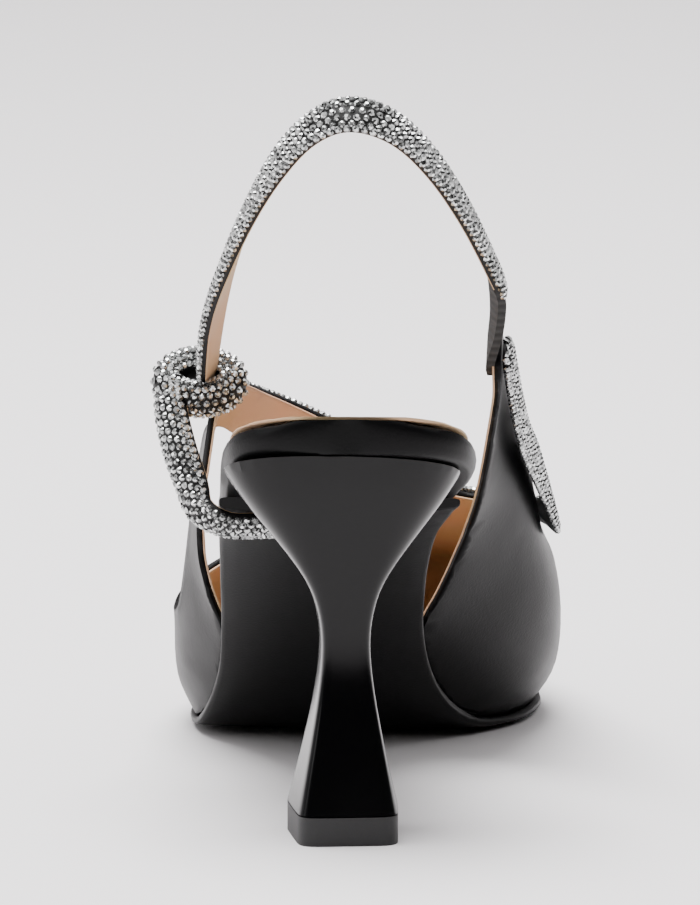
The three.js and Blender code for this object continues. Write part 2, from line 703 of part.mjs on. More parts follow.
function heelBlock() {
  const foot = TOP_LIFT_HEIGHT + CLEARANCE;
  const neckBack = HEEL_BACK + (HEEL_BASE_DEPTH - HEEL_NECK_DEPTH) * 0.5;
  const topBack = 0.8;
  const rings = HEEL.map(({ level, width, depth, corner }) => {
    const low = level <= 1;
    const z = low ? foot + level * (HEEL_NECK_RISE - foot)
      : HEEL_NECK_RISE + (level - 1) * (SEAT_RISE - HEEL_NECK_RISE);
    const endWidth = low ? HEEL_BASE_WIDTH : HEEL_TOP_WIDTH;
    const endDepth = low ? HEEL_BASE_DEPTH : HEEL_TOP_DEPTH;
    const endBack = low ? HEEL_BACK : topBack;
    return heelRing(
      z,
      THREE.MathUtils.lerp(HEEL_NECK_WIDTH, endWidth, width),
      THREE.MathUtils.lerp(HEEL_NECK_DEPTH, endDepth, depth),
      THREE.MathUtils.lerp(neckBack, endBack, depth),
      corner,
      low ? heelTaper * width : 0,
    );
  });
  const above = plate({
    from: -4,
    to: HEEL_BREAST + 8,
    count: 18,
    inset: () => -12,
    bottom: (y) => featherHeight(y) - CLEARANCE,
    top: (y) => featherHeight(y) + SEAT_RISE / 2,
    across: 1,
    round: 0,
  });
  return skin(rings).subtract(above);
}

function topLift() {
  const ring = (z) => heelRing(z, HEEL_BASE_WIDTH, HEEL_BASE_DEPTH, HEEL_BACK, HEEL[0].corner, heelTaper);
  return skin([ring(0), ring(TOP_LIFT_HEIGHT)]);
}

// Directions of the sling's leaning plane: up it, and square to it
const lean = THREE.MathUtils.degToRad(SLING_LEAN);
const slingUp = new THREE.Vector3(0, -Math.sin(lean), Math.cos(lean));
const slingAcross = new THREE.Vector3(0, Math.cos(lean), Math.sin(lean));
const knot = new THREE.Vector3(KNOT_X, KNOT_Y, KNOT_Z);
const sideways = new THREE.Vector3(1, 0, 0);

function inSlingPlane(across, up) {
  return new THREE.Vector3(across, KNOT_Y, KNOT_Z).addScaledVector(slingUp, up);
}

const slingCurve = new THREE.CatmullRomCurve3(SLING.map(({ across, up }) => {
  return inSlingPlane(across * SLING_HALF_WIDTH, (SLING_START + up * SLING_RISE) / Math.cos(lean));
}), false, 'centripetal');

const slingRoll = through(SLING_ROLL, 'roll', 1, 'at', 1);

function slingFrame(share) {
  const point = slingCurve.getPointAt(share);
  const along = slingCurve.getTangentAt(share);
  const out = along.clone().cross(slingAcross).normalize();
  const roll = -THREE.MathUtils.degToRad(slingRoll(share));
  const across = slingAcross.clone().applyAxisAngle(along, roll);
  return { point, across, out: out.applyAxisAngle(along, roll) };
}

function sling(grow = 0) {
  const narrowWidth = STRAP_WIDTH * 0.66;
  const narrowThickness = STRAP_THICKNESS * 0.8;
  const frames = spread(0, 1, 46).map((share) => {
    const full = THREE.MathUtils.smoothstep(share, 0.03, 0.14);
    return {
      ...slingFrame(share),
      width: THREE.MathUtils.lerp(narrowWidth, STRAP_WIDTH, full) + 2 * grow,
      thickness: THREE.MathUtils.lerp(narrowThickness, STRAP_THICKNESS, full) + 2 * grow,
    };
  });
  return strap(frames);
}

// The knot: a ring of strap round the sling's end, and the riser that brings it up from the sole
function knotRing(grow = 0) {
  const frames = spread(0, Math.PI * 2, 29).slice(0, -1).map((turn) => {
    const out = sideways.clone().multiplyScalar(Math.cos(turn) * KNOT_RADIUS_ALONG)
      .addScaledVector(slingAcross, Math.sin(turn) * KNOT_RADIUS_ACROSS).normalize();
    const point = knot.clone().addScaledVector(sideways, Math.cos(turn) * KNOT_RADIUS_ACROSS)
      .addScaledVector(slingAcross, Math.sin(turn) * KNOT_RADIUS_ALONG);
    const thickness = KNOT_STRAP_THICKNESS + 2 * grow;
    return { point, across: slingUp, out, width: KNOT_WIDTH + 2 * grow, thickness };
  });
  return strap(frames, true);
}

// The riser's route from under the waist's outer edge to the knot's middle. x, y: shares of
// RISER_BACK. z: share of the drop from the knot to the riser's foot. outX, outY, outZ: the way its
// jewelled face looks.
const RISER = [
  { x: 0.958, y: -1.012, z: -0.996, outX: 0.00, outY: -0.52, outZ: -0.85 },
  { x: 0.407, y: -1.000, z: -1.000, outX: -0.10, outY: -0.52, outZ: -0.85 },
  { x: 0.036, y: -0.928, z: -0.897, outX: -0.45, outY: -0.65, outZ: -0.60 },
  { x: -0.096, y: -0.778, z: -0.699, outX: -0.68, outY: -0.72, outZ: -0.10 },
  { x: -0.257, y: -0.539, z: -0.460, outX: -0.65, outY: -0.75, outZ: 0.00 },
  { x: -0.395, y: -0.269, z: -0.165, outX: -0.72, outY: -0.68, outZ: 0.00 },
  { x: -0.455, y: -0.030, z: 0.055, outX: -0.90, outY: -0.40, outZ: 0.00 },
  { x: -0.359, y: 0.168, z: 0.202, outX: -1.00, outY: 0.00, outZ: 0.00 },
];

function riser(grow = 0) {
  const drop = KNOT_Z - soleBottom(KNOT_Y - RISER_BACK) + RISER_BELOW_SOLE;
  const curve = new THREE.CatmullRomCurve3(RISER.map(({ x, y, z }) => {
    return knot.clone().add(new THREE.Vector3(x * RISER_BACK, y * RISER_BACK, z * drop));
  }), false, 'centripetal');
  const looks = new THREE.CatmullRomCurve3(RISER.map(({ outX, outY, outZ }) => {
    return new THREE.Vector3(outX, outY, outZ);
  }), false, 'centripetal');
  const frames = spread(0, 1, 24).map((share) => {
    const point = curve.getPoint(share);
    const along = curve.getTangent(share);
    const look = looks.getPoint(share);
    const out = look.sub(along.clone().multiplyScalar(look.dot(along))).normalize();
    const across = along.clone().cross(out).normalize();
    const thickness = KNOT_STRAP_THICKNESS + 2 * grow;
    const spreading = THREE.MathUtils.smoothstep(share, 0.25, 0.6);
    const width = KNOT_WIDTH * THREE.MathUtils.lerp(RISER_FOOT_SHARE, 1, spreading) + 2 * grow;
    return { point, across, out, width, thickness };
  });
  return strap(frames);
}

function knotStrap(grow = 0) {
  return knotRing(grow).add(riser(grow));
}

// The elastic behind the joint of the sling and the inner wing
function elastic() {
  const underSling = STRAP_THICKNESS / 2 + CLEARANCE + ELASTIC_THICKNESS / 2;
  const underWing = UPPER_WALL + CLEARANCE + ELASTIC_SLACK + ELASTIC_THICKNESS / 2;
  const behindSling = [0.965, 0.98, 0.998].map((share) => {
    const { point, across, out } = slingFrame(share);
    return { point: point.addScaledVector(out, -underSling), across, out };
  });
  const behindWing = [0, 1, 2].map((i) => {
    const { y, girth } = trimPlaces[i];
    const { out } = lastFrame(y, girth);
    const across = out.clone().cross(trimDirections[i]).normalize();
    return { point: offLast(y, girth, -underWing), across, out };
  });
  return strap([...behindSling, ...behindWing].map((frame) => {
    return { ...frame, width: ELASTIC_WIDTH, thickness: ELASTIC_THICKNESS };
  }));
}

const leather = { color: 0x18181a, roughness: 0.42, metalness: 0 };
const lacquer = { color: 0x0c0c0d, roughness: 0.12, metalness: 0 };
const liftRubber = { color: 0x2a2a2c, roughness: 0.7, metalness: 0 };
const tan = { color: 0xc4a082, roughness: 0.75, metalness: 0 };
const jewels = { color: 0xb9bcbb, roughness: 0.25, metalness: 0.6 };
const band = { color: 0x101011, roughness: 0.8, metalness: 0 };

const shoe = new THREE.Group();

function addPart(name, solid, finish) {
  const mesh = solid.getMesh();
  const raw = new THREE.BufferGeometry();
  raw.setAttribute('position', new THREE.BufferAttribute(new Float32Array(mesh.vertProperties), 3));
  raw.setIndex(Array.from(mesh.triVerts));
  raw.translate(-liftMiddle.x, -liftMiddle.y, 0);
  const part = new THREE.Mesh(raw, new THREE.MeshStandardMaterial(finish));
  part.name = name;
  shoe.add(part);
}

const knotGrown = knotStrap(CLEARANCE);

addPart('upper', upper().subtract(knotGrown).subtract(sling(CLEARANCE)), leather);
addPart('outsole', outsole(), leather);
addPart('footbed', footbed(), leather);
addPart('sock', sock(), tan);
addPart('heel_block', heelBlock(), lacquer);
addPart('top_lift', topLift(), liftRubber);
addPart('sling_strap', sling().subtract(knotGrown), jewels);
addPart('knot_strap', knotStrap(), jewels);
addPart('crystal_trim', trim().subtract(knotGrown), jewels);
addPart('elastic', elastic(), band);

export default shoe;
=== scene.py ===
# %% [markdown]
# # A slingback pump with a jewelled sling
#
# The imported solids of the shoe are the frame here. They fix where every piece sits and how big it
# is. This lesson dresses them: leather with a lining, a coated heel, and straps set with crystals.

import bmesh
import bpy
import numpy as np
from mathutils import Matrix, Vector


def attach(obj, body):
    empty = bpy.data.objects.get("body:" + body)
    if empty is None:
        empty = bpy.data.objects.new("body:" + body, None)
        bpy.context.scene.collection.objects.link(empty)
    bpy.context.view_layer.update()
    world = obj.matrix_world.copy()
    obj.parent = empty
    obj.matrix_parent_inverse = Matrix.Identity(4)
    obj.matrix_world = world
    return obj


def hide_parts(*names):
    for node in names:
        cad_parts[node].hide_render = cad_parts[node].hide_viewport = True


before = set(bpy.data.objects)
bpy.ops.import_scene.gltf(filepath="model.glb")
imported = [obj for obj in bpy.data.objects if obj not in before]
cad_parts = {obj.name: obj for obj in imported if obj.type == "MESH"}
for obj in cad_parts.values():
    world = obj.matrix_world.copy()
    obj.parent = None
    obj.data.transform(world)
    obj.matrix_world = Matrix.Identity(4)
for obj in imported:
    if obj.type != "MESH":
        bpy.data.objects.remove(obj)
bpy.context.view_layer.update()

MM = 0.001
rng = np.random.default_rng(7)
print("pieces of the frame:", sorted(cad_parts))

# %% [markdown]
# ## Colours and finishes
#
# A maker names a colour by how it looks on a screen, so colours are written as sRGB hex values. The
# shader works in linear light, and one function does the change. A second one adds a shader node
# with its settings and links, so that each finish below reads as a short list.


# %% Colour and node helpers
def paint(code):
    """An sRGB hex colour as linear red, green, blue and alpha."""
    parts = [int(code[i:i + 2], 16) / 255 for i in (1, 3, 5)]
    linear = [c / 12.92 if c <= 0.04045 else ((c + 0.055) / 1.055) ** 2.4 for c in parts]
    return (*linear, 1.0)


def add(tree, kind, settings=None, **inputs):
    """Adds a node. An input, by name or as i0 or i1, is a value or another node's socket to link."""
    node = tree.nodes.new(kind)
    for name, value in (settings or {}).items():
        setattr(node, name, value)
    for name, value in inputs.items():
        by_number = name[0] == "i" and name[1:].isdigit()
        socket = node.inputs[int(name[1:]) if by_number else name.replace("_", " ")]
        if isinstance(value, bpy.types.NodeSocket):
            tree.links.new(value, socket)
        else:
            socket.default_value = value
    return node


def finish_named(name):
    """A new material with an empty Principled shader, and its tree."""
    material = bpy.data.materials.new(name)
    material.use_nodes = True
    tree = material.node_tree
    return material, tree, tree.nodes["Principled BSDF"]


def per_metre(size_mm):
    """The texture scale at which one cell of a pattern is this big."""
    return 1000 / size_mm


# %% [markdown]
# ### Nappa leather
#
# Nappa is full-grain leather with a thin even coat. It is smooth from afar, with a fine pebbled
# grain of about half a millimetre, and its gloss breaks up softly. A slow noise changes the
# roughness and the tone over a few centimetres, and a cell pattern with a fine noise gives the
# grain to the bump. The same recipe, with other numbers, serves the sole's leather, the tan calf of
# the lining, which is paler and duller, and the painted edges of the straps.


# %% Leather
CLOUD_MM = 28


def leather(name, colour, roughness, grain_mm, grain_depth, drift, shine=0.2):
    """Coated leather: a pebbled grain, and a gloss and tone that drift over some centimetres."""
    material, tree, shader = finish_named(name)
    place = add(tree, "ShaderNodeTexCoord").outputs["Object"]
    cloud = add(tree, "ShaderNodeTexNoise", Vector=place, Scale=per_metre(CLOUD_MM), Detail=3.0)
    pebble = add(tree, "ShaderNodeTexVoronoi", Vector=place, Scale=per_metre(grain_mm))
    fine = add(tree, "ShaderNodeTexNoise", Vector=place, Scale=per_metre(grain_mm * 0.6), Detail=4.0)
    dull = add(tree, "ShaderNodeMapRange", Value=cloud.outputs["Fac"],
               From_Min=0.3, From_Max=0.7, To_Min=roughness - drift, To_Max=roughness + drift)
    tone = add(tree, "ShaderNodeMixRGB", {"blend_type": "MULTIPLY"}, Fac=0.35,
               Color1=paint(colour), Color2=cloud.outputs["Color"])
    grain = add(tree, "ShaderNodeMath", {"operation": "ADD"},
                i0=pebble.outputs["Distance"], i1=fine.outputs["Fac"])
    bump = add(tree, "ShaderNodeBump", Strength=grain_depth, Distance=0.0002, Height=grain.outputs[0])
    tree.links.new(dull.outputs["Result"], shader.inputs["Roughness"])
    tree.links.new(tone.outputs["Color"], shader.inputs["Base Color"])
    tree.links.new(bump.outputs["Normal"], shader.inputs["Normal"])
    shader.inputs["IOR"].default_value = 1.45
    shader.inputs["Specular IOR Level"].default_value = shine
    return material


nappa = leather("black nappa leather", "#0A0A0B", roughness=0.36, grain_mm=0.55, grain_depth=0.10,
                drift=0.05, shine=0.12)
sole_leather = leather("black sole leather", "#0C0C0D", roughness=0.42, grain_mm=0.5, grain_depth=0.08,
                       drift=0.05)
calf_lining = leather("tan calf lining", "#D2B08E", roughness=0.62, grain_mm=0.8, grain_depth=0.12,
                      drift=0.06)
edge_paint = leather("black edge paint", "#141314", roughness=0.5, grain_mm=1.2, grain_depth=0.10,
                     drift=0.04)
print("leathers:", nappa.name, sole_leather.name, calf_lining.name, edge_paint.name)

# %% [markdown]
# ### Lacquer on the heel
#
# The heel is wood or hard plastic under several coats of black lacquer, so it is very dark and
# glossy. Lacquer that is sprayed by hand keeps a faint ripple about a centimetre wide, and fingers
# leave it a little duller here and there. The first goes to the bump and the second to the
# roughness.


# %% Heel coating
def lacquer(name, colour):
    """Sprayed gloss lacquer with a slight ripple."""
    material, tree, shader = finish_named(name)
    place = add(tree, "ShaderNodeTexCoord").outputs["Object"]
    ripple = add(tree, "ShaderNodeTexNoise", Vector=place, Scale=per_metre(9), Detail=2.0)
    smear = add(tree, "ShaderNodeTexNoise", Vector=place, Scale=per_metre(22), Detail=4.0)
    dull = add(tree, "ShaderNodeMapRange", Value=smear.outputs["Fac"],
               From_Min=0.3, From_Max=0.7, To_Min=0.16, To_Max=0.24)
    bump = add(tree, "ShaderNodeBump", Strength=0.05, Distance=0.0004, Height=ripple.outputs["Fac"])
    shader.inputs["Base Color"].default_value = paint(colour)
    tree.links.new(dull.outputs["Result"], shader.inputs["Roughness"])
    tree.links.new(bump.outputs["Normal"], shader.inputs["Normal"])
    shader.inputs["Specular IOR Level"].default_value = 0.2
    return material


heel_lacquer = lacquer("black heel lacquer", "#040405")
print("heel:", heel_lacquer.name)

# %% [markdown]
# ### Rubber on the lift
#
# The lift is a block of moulded rubber, greyer and duller than the heel, with a fine tooth from its
# mould. A noise of half a millimetre gives the tooth, and also a slight mottle in the grey.


# %% Lift rubber
def moulded_rubber(name, colour):
    """Dull rubber with the tooth of its mould."""
    material, tree, shader = finish_named(name)
    place = add(tree, "ShaderNodeTexCoord").outputs["Object"]
    tooth = add(tree, "ShaderNodeTexNoise", Vector=place, Scale=per_metre(0.5), Detail=4.0)
    bump = add(tree, "ShaderNodeBump", Strength=0.15, Distance=0.0002, Height=tooth.outputs["Fac"])
    tone = add(tree, "ShaderNodeMixRGB", {"blend_type": "MULTIPLY"}, Fac=0.3,
               Color1=paint(colour), Color2=tooth.outputs["Color"])
    tree.links.new(tone.outputs["Color"], shader.inputs["Base Color"])
    tree.links.new(bump.outputs["Normal"], shader.inputs["Normal"])
    shader.inputs["Roughness"].default_value = 0.55
    return material


lift_rubber = moulded_rubber("dark grey lift rubber", "#1E1E1F")
print("lift:", lift_rubber.name)

# %% [markdown]
# ### Woven elastic
#
# Shoe elastic is woven with ribs across it, nearly a millimetre apart, and matt between them. A
# wave pattern along the height gives both the ribs' relief and a painted shade in their grooves.


# %% Elastic
RIB_MM = 0.9
WAVES_PER_CELL = 6.28


def rib_weave(name, colour):
    """Matt ribbed weave, with painted shade in its grooves."""
    material, tree, shader = finish_named(name)
    place = add(tree, "ShaderNodeTexCoord").outputs["Object"]
    ribs = add(tree, "ShaderNodeTexWave", {"bands_direction": "Z"}, Vector=place,
               Scale=per_metre(RIB_MM) / WAVES_PER_CELL, Distortion=0.4)
    bump = add(tree, "ShaderNodeBump", Strength=0.6, Distance=0.0003, Height=ribs.outputs["Fac"])
    # Painted shade: where the wave is low, in the grooves, the colour is painted near black.
    tone = add(tree, "ShaderNodeMixRGB", Fac=ribs.outputs["Fac"],
               Color1=paint("#050505"), Color2=paint(colour))
    tree.links.new(tone.outputs["Color"], shader.inputs["Base Color"])
    tree.links.new(bump.outputs["Normal"], shader.inputs["Normal"])
    shader.inputs["Roughness"].default_value = 0.85
    return material


woven_elastic = rib_weave("black woven elastic", "#1B1B1C")
print("elastic:", woven_elastic.name)

# %% [markdown]
# ### Crystals
#
# Each crystal is cut glass with a silvered back, so it acts as a small faceted mirror: one facet
# catches the light and the next is dark. A metal shader with little roughness gives part of that, and a
# painted glint gives the rest: each facet's colour is painted lighter or darker, kept as an attribute of
# its mesh, and each crystal gets its own, because no two face the same way.


# %% Crystal glass
def silvered_glass(name):
    """Cut glass with a silvered back, with a painted glint on each facet, kept as an attribute."""
    material, tree, shader = finish_named(name)
    # Painted glint: this attribute paints each facet's colour between dark glass and bright silver.
    painted_glint = add(tree, "ShaderNodeAttribute", {"attribute_name": "painted_glint"})
    tone = add(tree, "ShaderNodeMixRGB", Fac=painted_glint.outputs["Fac"],
               Color1=paint("#242626"), Color2=paint("#E9EBEA"))
    tree.links.new(tone.outputs["Color"], shader.inputs["Base Color"])
    shader.inputs["Metallic"].default_value = 0.85
    shader.inputs["Roughness"].default_value = 0.14
    return material


crystal_glass = silvered_glass("silvered cut glass")
print("crystals:", crystal_glass.name)

# %% [markdown]
# ## Pieces from the solids
#
# The solids are loose triangles with hard facets. A copy gets its doubles merged and its normals
# smoothed over every edge that isn't a real corner. That keeps the shape and loses the facets.


# %% Copies of the solids
def to_piece(bm, name, material, smooth_below=None):
    """Makes a piece of a bmesh: smooth, with real corners kept sharp."""
    for face in bm.faces:
        face.smooth = True
    if smooth_below is not None:
        for edge in bm.edges:
            edge.smooth = len(edge.link_faces) == 2 and edge.calc_face_angle(0) < np.radians(smooth_below)
    mesh = bpy.data.meshes.new(name)
    bm.to_mesh(mesh)
    bm.free()
    mesh.materials.append(material)
    piece = bpy.data.objects.new(name, mesh)
    bpy.context.scene.collection.objects.link(piece)
    return piece


def merged_copy(node):
    """A bmesh of a solid, with its doubles merged."""
    bm = bmesh.new()
    bm.from_mesh(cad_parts[node].data)
    bmesh.ops.remove_doubles(bm, verts=bm.verts, dist=0.02 * MM)
    bmesh.ops.dissolve_degenerate(bm, edges=bm.edges, dist=0.01 * MM)
    return bm


def wear(piece, slot, *nodes):
    """Fixes a piece to the shoe in place of its CAD nodes; the slot is not used."""
    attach(piece, "root")
    if nodes:
        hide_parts(*nodes)
    print(piece.name, len(piece.data.polygons), "faces")
    return piece


def round_out(piece, levels=1):
    """Rounds a piece's facets with a subdivision surface."""
    soft = piece.modifiers.new("soft", "SUBSURF")
    soft.levels = levels
    soft.render_levels = levels


SHORTEST_EDGE = 0.2 * MM


def soft_copy(node, name, material, corner, levels=1):
    """A copy of a solid with rounded facets, whose corners sharper than so many degrees are kept."""
    bm = merged_copy(node)
    bmesh.ops.dissolve_degenerate(bm, edges=bm.edges, dist=SHORTEST_EDGE)
    bmesh.ops.join_triangles(bm, faces=bm.faces, angle_face_threshold=0.5, angle_shape_threshold=1.2)
    crease = bm.edges.layers.float.new("crease_edge")
    for edge in bm.edges:
        if edge.calc_face_angle(0) > np.radians(corner):
            edge[crease] = 1.0
    piece = to_piece(bm, name, material, corner)
    round_out(piece, levels)
    return piece


# %% [markdown]
# ## The heel
#
# The heel is one turned and carved block: wide under the seat, narrow at its neck and flared at its
# foot. Its shape is in the solid already, so a copy is enough. Two rounds of subdivision make its
# long curves even, and creases keep its flat lower faces and the rim under the seat crisp.

# %% The heel
heel = soft_copy("heel_block", "heel_coated", heel_lacquer, corner=33, levels=2)
wear(heel, "heel_coating", "heel_block")

# %% [markdown]
# ## The top lift
#
# The lift is what wears against the floor, and a cobbler replaces it. It is a plain small block with
# crisp edges, so its copy is only merged, and isn't rounded.

# %% The top lift
lift = to_piece(merged_copy("top_lift"), "lift_moulded", lift_rubber, smooth_below=40)
wear(lift, "lift_rubber", "top_lift")

# %% [markdown]
# ## The outsole
#
# The outsole is a thin piece of dyed leather from the heel's breast to the toe. The solid leaves
# a gap for the glue above it. On the shoe the glue closes it, so the sole's upper side is raised a
# little, and its lower edge is raised more, as the sander rounds it off.

# %% The outsole
GLUE_GAP = 0.5 * MM
SANDED_EDGE = 0.9 * MM
sole = soft_copy("outsole", "sole_leather_cut", sole_leather, corner=50)
for vert in sole.data.vertices:
    looks_up = vert.normal.z > 0.3
    on_lower_edge = vert.normal.z < -0.2 and abs(vert.normal.x) > 0.2
    if looks_up:
        vert.co.z += GLUE_GAP
    elif on_lower_edge:
        vert.co.z += SANDED_EDGE
wear(sole, "sole_leather", "outsole")

# %% [markdown]
# ## The footbed
#
# The footbed is the shoe's insole. At the seat and the waist its thick rim shows, wrapped in the
# same leather as the upper. Its solid has the rim, so a rounded copy in that leather is enough.

# %% The footbed
footbed = soft_copy("footbed", "footbed_wrapped", nappa, corner=50)
wear(footbed, "upper_leather", "footbed")

# %% [markdown]
# ## The sock
#
# The sock is the thin tan leather that the foot stands on. It lies on the whole footbed, with its
# edge just inside the rim.

# %% The sock
sock = soft_copy("sock", "sock_leather", calf_lining, corner=60)
wear(sock, "lining_leather", "sock")

# %% [markdown]
# ## The upper
#
# A shoe's upper is a sheet of leather with a lining glued behind it. It could be modelled anew over
# the last, but the solid already has the outer side. So that side is taken alone: it is all that can
# be reached from its outermost face without crossing a real corner. Its cut edge is smoothed, and a
# Solidify modifier gives back the leather's thickness. A Weighted Normal modifier then lets the large
# faces decide the shading, so that short faces at the edge leave no streaks in the gloss.

# %% The outer side of the upper
FOOT_LINE = [(25, 0, 92), (71, 0, 60), (101, 1, 38), (130, 4, 20), (190, 5, 9), (216, 6, 8)]


def foot_middle(y):
    """The middle of the foot at a place along the shoe, in metres."""
    along = [row[0] * MM for row in FOOT_LINE]
    x = np.interp(y, along, [row[1] * MM for row in FOOT_LINE])
    z = np.interp(y, along, [row[2] * MM for row in FOOT_LINE])
    return Vector((x, y, z))


def outer_sheet(bm, corner=40):
    """Keeps the faces reached from the outermost one without crossing a real corner."""
    def away(face):
        middle = face.calc_center_median()
        return face.normal.dot((middle - foot_middle(middle.y)).normalized())

    reached = {max(bm.faces, key=away)}
    front = list(reached)
    while front:
        face = front.pop()
        for edge in face.edges:
            for other in edge.link_faces:
                if other not in reached and edge.calc_face_angle(0) < np.radians(corner):
                    reached.add(other)
                    front.append(other)
    print("outer sheet:", len(reached), "faces of", len(bm.faces))
    unseen = [face for face in bm.faces if face not in reached]
    bmesh.ops.delete(bm, geom=unseen, context="FACES")


def smooth_rim(bm, rounds):
    """Evens out the cut edge of a sheet along itself, keeping its other points."""
    for _ in range(rounds):
        moves = {}
        for vert in bm.verts:
            rim = [edge.other_vert(vert) for edge in vert.link_edges if edge.is_boundary]
            if len(rim) == 2:
                moves[vert] = vert.co * 0.5 + (rim[0].co + rim[1].co) * 0.25
        for vert, place in moves.items():
            vert.co = place


SHORTEST_SHEET_EDGE = 0.8 * MM
RIM_ROUNDS = 8
SHEET_ROUNDS = 4


def sheet_of(node):
    """The outer side of a solid as an open sheet, with even faces and an even edge."""
    bm = merged_copy(node)
    outer_sheet(bm)
    loose = [vert for vert in bm.verts if not vert.link_faces]
    bmesh.ops.delete(bm, geom=loose, context="VERTS")
    bmesh.ops.dissolve_degenerate(bm, edges=bm.edges, dist=SHORTEST_SHEET_EDGE)
    inner_edges = [edge for edge in bm.edges if not edge.is_boundary]
    bmesh.ops.beautify_fill(bm, faces=bm.faces, edges=inner_edges)
    smooth_rim(bm, RIM_ROUNDS)
    middle = [vert for vert in bm.verts if not vert.is_boundary]
    for _ in range(SHEET_ROUNDS):
        bmesh.ops.smooth_vert(bm, verts=middle, factor=0.5,
                              use_axis_x=True, use_axis_y=True, use_axis_z=True)
    bmesh.ops.join_triangles(bm, faces=bm.faces, angle_face_threshold=0.3, angle_shape_threshold=0.9)
    return bm


# %% The leather of the upper
LEATHER_THICKNESS = 1.3 * MM
upper_leather = to_piece(sheet_of("upper"), "upper_leather_sheet", nappa)
round_out(upper_leather)
wall = upper_leather.modifiers.new("thickness", "SOLIDIFY")
wall.thickness = LEATHER_THICKNESS
wall.offset = -1
wall.use_even_offset = False
even_light = upper_leather.modifiers.new("even shading", "WEIGHTED_NORMAL")
even_light.mode = "FACE_AREA"
even_light.weight = 80
wear(upper_leather, "upper_leather", "upper")

# %% [markdown]
# ## The lining of the upper
#
# The lining is a thin tan calf leather on the inner side. It is the same sheet again, moved inwards
# by the leather's thickness, so its edge shows as a tan line beside the black one.

# %% The lining of the upper
LINING_THICKNESS = 0.45 * MM
lining_sheet = sheet_of("upper")
lining_sheet.normal_update()
inward = {vert: vert.co - vert.normal * LEATHER_THICKNESS for vert in lining_sheet.verts}
for vert, place in inward.items():
    vert.co = place
upper_lining = to_piece(lining_sheet, "upper_lining_sheet", calf_lining)
round_out(upper_lining)
wall = upper_lining.modifiers.new("thickness", "SOLIDIFY")
wall.thickness = LINING_THICKNESS
wall.offset = -1
wear(upper_lining, "lining_leather")

# %% [markdown]
# ## Straps
#
# A jewelled strap is a cord-filled leather band: flat and lined with tan leather inside, domed and
# set with crystals outside, with painted edges between. Each strap follows a route, which is a row
# of points with the way its face looks. A curve with a bevel could follow the points too, but it
# can't turn and swell as the strap does. So the band is one cross-section, extruded from station to
# station along the route.


# %% Routes
def even(points, count):
    """Evenly spaced points on a smooth curve through a row of points."""
    rows = np.asarray(points, float)
    with_ends = np.vstack([2 * rows[0] - rows[1], rows, 2 * rows[-1] - rows[-2]])
    dense = []
    for i in range(1, len(with_ends) - 2):
        a, b, c, d = with_ends[i - 1:i + 3]
        for t in np.linspace(0, 1, 24, endpoint=False):
            dense.append(0.5 * (2 * b + (c - a) * t + (2 * a - 5 * b + 4 * c - d) * t ** 2
                                + (3 * b - a - 3 * c + d) * t ** 3))
    dense.append(rows[-1])
    dense = np.array(dense)
    steps = np.linalg.norm(np.diff(dense[:, :3], axis=0), axis=1)
    travelled = np.concatenate([[0], np.cumsum(steps)])
    wanted = np.linspace(0, travelled[-1], count)
    return np.column_stack([np.interp(wanted, travelled, dense[:, k]) for k in range(dense.shape[1])])


def stations_of(rows, spacing):
    """Stations along a route of x, y, z and the way its face looks, in millimetres.

    A station is its point in metres, the way along, the way across and the way out.
    """
    length = np.linalg.norm(np.diff(np.asarray(rows, float)[:, :3], axis=0), axis=1).sum()
    count = max(4, int(round(length / spacing)) + 1)
    samples = even(rows, count)
    made = []
    for i, row in enumerate(samples):
        before, after = samples[max(0, i - 1)], samples[min(count - 1, i + 1)]
        along = Vector(after[:3] - before[:3]).normalized()
        look = Vector(row[3:6])
        out = (look - along * look.dot(along)).normalized()
        made.append((Vector(row[:3]) * MM, along, along.cross(out).normalized(), out))
    return made


# %% The band
def band(stations, sections):
    """Extrudes a closed cross-section from station to station. A section's points are w, h in mm."""
    bm = bmesh.new()
    rings = [[point + across * (w * MM) + out * (h * MM) for w, h in section]
             for (point, _, across, out), section in zip(stations, sections)]
    verts = [bm.verts.new(place) for place in rings[0]]
    count = len(verts)
    edges = [bm.edges.new((verts[i], verts[(i + 1) % count])) for i in range(count)]
    bmesh.ops.contextual_create(bm, geom=edges)
    for ring in rings[1:]:
        made = bmesh.ops.extrude_edge_only(bm, edges=edges)["geom"]
        fresh = [item for item in made if isinstance(item, bmesh.types.BMVert)]
        edges = [item for item in made if isinstance(item, bmesh.types.BMEdge)]
        edges = [edge for edge in edges if edge.verts[0] in fresh and edge.verts[1] in fresh]
        order = {}
        for vert in fresh:
            order[vert] = min(range(count), key=lambda k: (verts[k].co - vert.co).length_squared)
        for vert in fresh:
            vert.co = ring[order[vert]]
        verts = sorted(fresh, key=order.get)
    bmesh.ops.contextual_create(bm, geom=edges)
    bmesh.ops.recalc_face_normals(bm, faces=bm.faces)
    return bm


DOME_FULLNESS = 0.8
INSIDE_SHARE = 0.92


def domed(width, height, low, foot):
    """A jewelled strap's cross-section: flat inside, upright edges, and a domed outside."""
    half = width / 2
    turns = np.linspace(0, np.pi, 13)
    arc = [(half * np.cos(turn), low + (height - low) * np.sin(turn) ** DOME_FULLNESS) for turn in turns]
    return [(half * INSIDE_SHARE, foot)] + arc + [(-half * INSIDE_SHARE, foot)]


def flat(width, high, low):
    """The cross-section of a thin lining."""
    return [(width / 2, high), (width / 2, low), (-width / 2, low), (-width / 2, high)]


# %% [markdown]
# ## Crystals on the straps
#
# One crystal is a low eight-sided cone on another, closed at the top by a small flat table, so it
# has few faces and each catches the light on its own. Copies stand in rows on the dome, every second
# row shifted by half a step, and each is turned and tilted by its own small amount.


# %% One crystal
STONE = 1.68
STEP = 1.8
ROWS = 7
TILT = 0.09
GIRDLE_SHARE = 0.80
TABLE_SHARE = 0.42
print("crystals are", STONE, "mm wide and stand", STEP, "mm apart")


